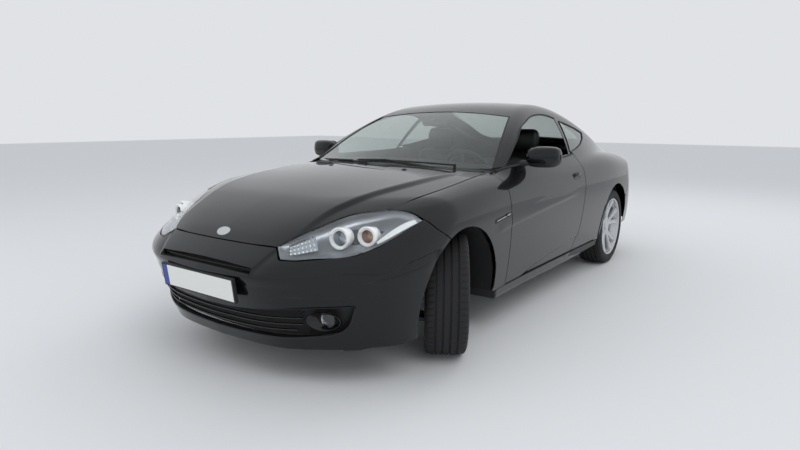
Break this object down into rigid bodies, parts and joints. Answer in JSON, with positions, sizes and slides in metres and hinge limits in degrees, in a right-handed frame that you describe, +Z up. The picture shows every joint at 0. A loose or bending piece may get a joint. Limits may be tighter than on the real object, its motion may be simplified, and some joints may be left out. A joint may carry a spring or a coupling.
{
  "type": "two-door coupe car",
  "caption": "Black two-door coupe car with a sloping hatch tail, drawn with its front wheels turned to the left and its left window lowered.",
  "frame": {"origin": "on the ground under the middle of the car's outline", "axes": "+X to the nose, +Y to the car's left, +Z up"},
  "size_m": [4.431, 1.9778, 1.3296],
  "materials": {
    "paint": "gloss",
    "cover": "gloss",
    "trim": "matte",
    "steel": "satin",
    "casting": "matte",
    "alloy": "satin",
    "tyre": "matte",
    "window": "gloss",
    "lamp_lens": "gloss",
    "red_lens": "gloss",
    "plate": "gloss",
    "leather": "satin"
  },
  "bodies": {
    "chassis": {"floor_pan": "steel", "front_frame": "steel", "engine_block": "casting", "front_liner_left": "trim", "front_liner_right": "trim", "rear_liner_left": "trim", "rear_liner_right": "trim", "front_subframe": "steel", "rear_axle": "steel", "exhaust": "steel", "fender_left": "paint", "fender_right": "paint", "front_bumper": "cover", "front_plate": "plate", "headlamp_left": "lamp_lens", "headlamp_right": "lamp_lens", "lower_grille": "trim", "upper_grille": "trim", "fog_lamp_left": "lamp_lens", "fog_lamp_right": "lamp_lens", "cowl": "trim", "wiper_left": "trim", "wiper_right": "trim", "roof_frame": "paint", "windscreen": "window", "quarter_glass_left": "window", "quarter_glass_right": "window", "quarter_left": "paint", "quarter_right": "paint", "tail_lamp_left": "red_lens", "tail_lamp_right": "red_lens", "rear_bumper": "cover", "dashboard": "trim", "seat_left": "leather", "seat_right": "leather", "rear_seat": "leather", "interior_mirror": "trim"},
    "hood": {"hood": "paint"},
    "door_left": {"door_left": "paint", "door_handle_left": "trim", "mirror_left": "cover"},
    "door_right": {"door_right": "paint", "door_handle_right": "trim", "mirror_right": "cover", "door_glass_right": "window"},
    "tailgate": {"tailgate": "paint", "backlight": "window"},
    "steering_wheel": {"steering_wheel": "trim"},
    "knuckle_left": {"knuckle_left": "casting"},
    "knuckle_right": {"knuckle_right": "casting"},
    "wheel_front_left": {"wheel_front_left": "alloy", "tyre_front_left": "tyre"},
    "wheel_front_right": {"wheel_front_right": "alloy", "tyre_front_right": "tyre"},
    "wheel_rear_left": {"wheel_rear_left": "alloy", "tyre_rear_left": "tyre"},
    "wheel_rear_right": {"wheel_rear_right": "alloy", "tyre_rear_right": "tyre"}
  },
  "joints": [
    {"name": "steer_left", "type": "hinge", "parent": "chassis", "child": "knuckle_left", "pos_m": [1.2825, 0.69, 0.185], "axis": [0, -0.1992, 0.98], "range_deg": [-66, 3]},
    {"name": "steer_right", "type": "hinge", "parent": "chassis", "child": "knuckle_right", "pos_m": [1.2825, -0.69, 0.185], "axis": [0, 0.1992, 0.98], "range_deg": [-60.1, 2.8]},
    {"name": "steering_wheel", "type": "hinge", "parent": "chassis", "child": "steering_wheel", "pos_m": [0.36, 0.36, 0.83], "axis": [-0.9063, 0, 0.4226], "range_deg": [-925, 43]},
    {"name": "door_left", "type": "hinge", "parent": "chassis", "child": "door_left", "pos_m": [0.852, 0.852, 0.575], "axis": [0, 0, -1], "range_deg": [0, 65]},
    {"name": "door_right", "type": "hinge", "parent": "chassis", "child": "door_right", "pos_m": [0.852, -0.852, 0.575], "axis": [0, 0, 1], "range_deg": [0, 65]},
    {"name": "hood", "type": "hinge", "parent": "chassis", "child": "hood", "pos_m": [0.75, 0, 0.893], "axis": [0, -1, 0], "range_deg": [0, 50]},
    {"name": "tailgate", "type": "hinge", "parent": "chassis", "child": "tailgate", "pos_m": [-0.57, 0, 1.298], "axis": [0, 1, 0], "range_deg": [0, 70]},
    {"name": "wheel_front_left", "type": "hinge", "parent": "knuckle_left", "child": "wheel_front_left", "pos_m": [1.23838, 0.73193, 0.313], "axis": [-0.5446, 0.8387, 0], "continuous": true},
    {"name": "wheel_front_right", "type": "hinge", "parent": "knuckle_right", "child": "wheel_front_right", "pos_m": [1.32301, -0.73415, 0.313], "axis": [0.5, -0.866, 0], "continuous": true},
    {"name": "wheel_rear_left", "type": "hinge", "parent": "chassis", "child": "wheel_rear_left", "pos_m": [-1.2475, 0.745, 0.313], "axis": [0, 1, 0], "continuous": true},
    {"name": "wheel_rear_right", "type": "hinge", "parent": "chassis", "child": "wheel_rear_right", "pos_m": [-1.2475, -0.745, 0.313], "axis": [0, -1, 0], "continuous": true}
  ],
  "couplings": [
    {"joint": "steer_right", "follows": "steer_left", "ratio": 0.90909},
    {"joint": "steering_wheel", "follows": "steer_left", "ratio": 14}
  ]
}
